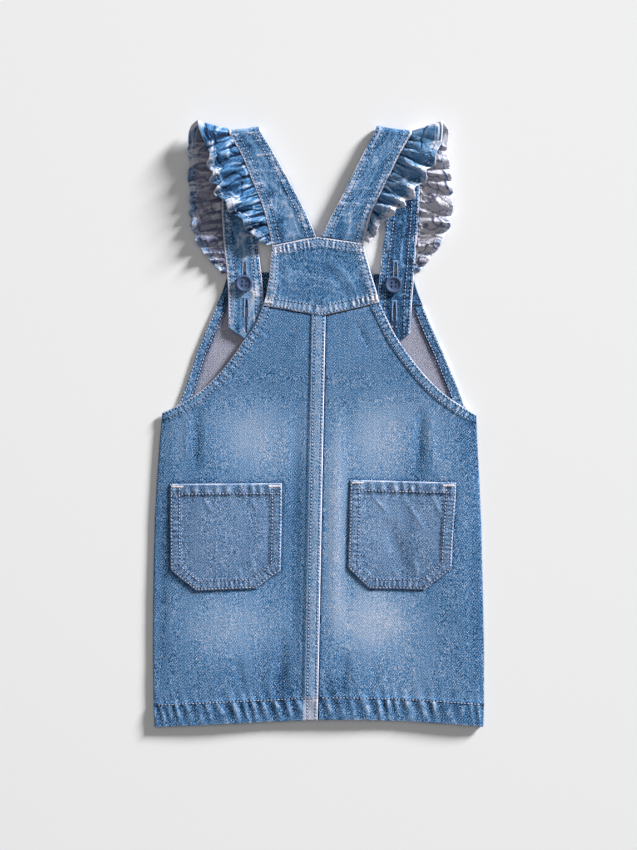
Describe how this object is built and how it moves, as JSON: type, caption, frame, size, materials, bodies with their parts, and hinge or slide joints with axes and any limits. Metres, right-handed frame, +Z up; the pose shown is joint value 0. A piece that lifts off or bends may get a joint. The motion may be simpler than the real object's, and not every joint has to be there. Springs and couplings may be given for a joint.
{
  "type": "denim bib pinafore dress",
  "caption": "Small child's blue denim bib pinafore, laid flat with its back up: ruffled straps buttoned inside the bib, patch pockets and a seamed straight skirt.",
  "frame": {"origin": "centre of the bounding box, on the surface that the garment lies on", "axes": "+Y from the hem towards the shoulders; +Z up, from the front (face down) to the back"},
  "size_m": [0.2912, 0.5318, 0.0204],
  "materials": {
    "denim_inside": "matte",
    "denim_back": "matte",
    "denim_yoke": "matte",
    "denim_strap": "matte",
    "denim_ruffle": "matte",
    "denim_pocket": "matte",
    "button_plastic": "satin",
    "thread": "matte"
  },
  "bodies": {
    "root": {"front_skirt": "denim_inside", "front_yoke": "denim_inside", "back_left": "denim_back", "back_right": "denim_back", "back_yoke": "denim_yoke", "strap_left": "denim_strap", "strap_right": "denim_strap", "ruffle_left": "denim_ruffle", "ruffle_right": "denim_ruffle", "pocket_left": "denim_pocket", "pocket_right": "denim_pocket", "button_left": "button_plastic", "button_right": "button_plastic"}
  },
  "joints": []
}
